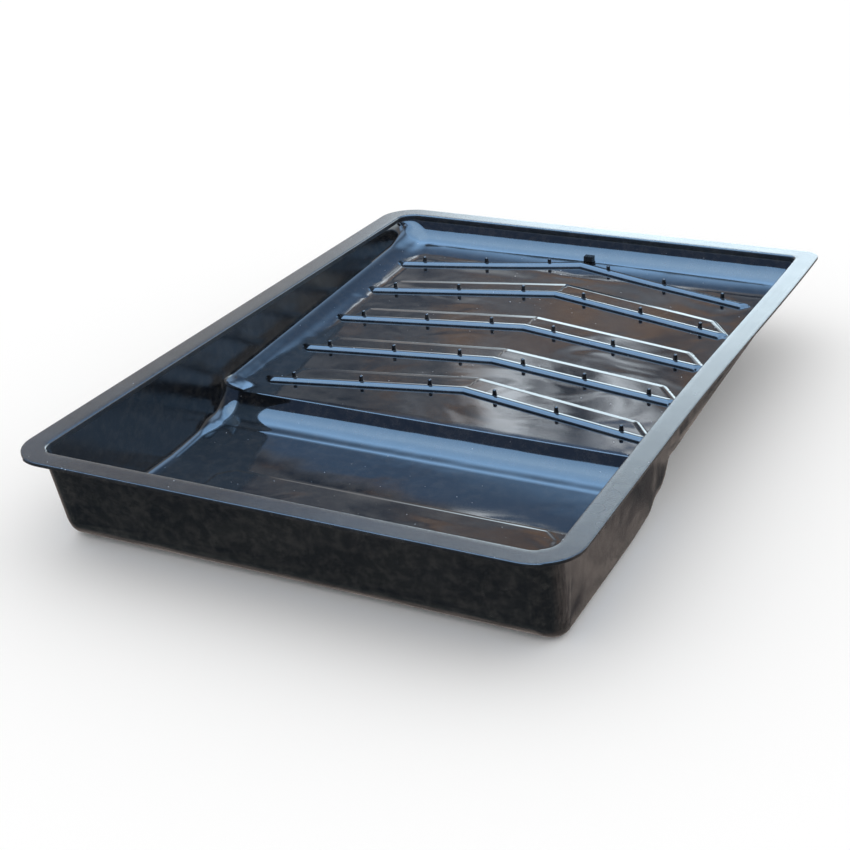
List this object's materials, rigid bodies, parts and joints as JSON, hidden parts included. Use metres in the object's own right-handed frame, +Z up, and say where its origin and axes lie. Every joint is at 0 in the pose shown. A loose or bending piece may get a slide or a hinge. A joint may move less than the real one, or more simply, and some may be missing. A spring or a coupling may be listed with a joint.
{
  "type": "paint roller tray",
  "caption": "Shallow black plastic paint tray: a deep well at the front and a sloping ramp with chevron ribs and small pins, inside a flat flanged rim.",
  "frame": {"origin": "under the middle of the tray's length and width, on the plane of the well's underside that the tray rests on", "axes": "+X across the tray to its right as seen from the well end; +Y along the tray from the paint well up the ramp; +Z up, out of the open mouth"},
  "size_m": [0.27, 0.393, 0.05],
  "materials": {
    "body_plastic": "glossy black moulded plastic, wavy reflections",
    "rim_plastic": "the same black plastic with a satin, finely grained top face"
  },
  "bodies": {
    "root": {"rim_front": "rim_plastic", "rim_back": "rim_plastic", "rim_left": "rim_plastic", "rim_right": "rim_plastic", "well_front_wall": "body_plastic", "well_left_wall": "body_plastic", "well_right_wall": "body_plastic", "well_floor": "body_plastic", "step_wall": "body_plastic", "ramp_deck": "body_plastic", "ramp_left_wall": "body_plastic", "ramp_right_wall": "body_plastic", "back_wall": "body_plastic", "rib_1_left": "body_plastic", "rib_1_right": "body_plastic", "rib_2_left": "body_plastic", "rib_2_right": "body_plastic", "rib_3_left": "body_plastic", "rib_3_right": "body_plastic", "rib_4_left": "body_plastic", "rib_4_right": "body_plastic", "rib_5_left": "body_plastic", "rib_5_right": "body_plastic", "drain_panel_1": "body_plastic", "drain_panel_2": "body_plastic", "drain_panel_3": "body_plastic", "drain_panel_4": "body_plastic", "pin_1_1": "body_plastic", "pin_1_2": "body_plastic", "pin_1_3": "body_plastic", "pin_1_4": "body_plastic", "pin_1_5": "body_plastic", "pin_1_6": "body_plastic", "pin_2_1": "body_plastic", "pin_2_2": "body_plastic", "pin_2_3": "body_plastic", "pin_2_4": "body_plastic", "pin_2_5": "body_plastic", "pin_2_6": "body_plastic", "pin_3_1": "body_plastic", "pin_3_2": "body_plastic", "pin_3_3": "body_plastic", "pin_3_4": "body_plastic", "pin_3_5": "body_plastic", "pin_3_6": "body_plastic", "pin_4_1": "body_plastic", "pin_4_2": "body_plastic", "pin_4_3": "body_plastic", "pin_4_4": "body_plastic", "pin_4_5": "body_plastic", "pin_4_6": "body_plastic", "pin_5_1": "body_plastic", "pin_5_2": "body_plastic", "pin_5_3": "body_plastic", "pin_5_4": "body_plastic", "pin_5_5": "body_plastic", "pin_5_6": "body_plastic", "back_lug": "body_plastic"}
  },
  "joints": []
}
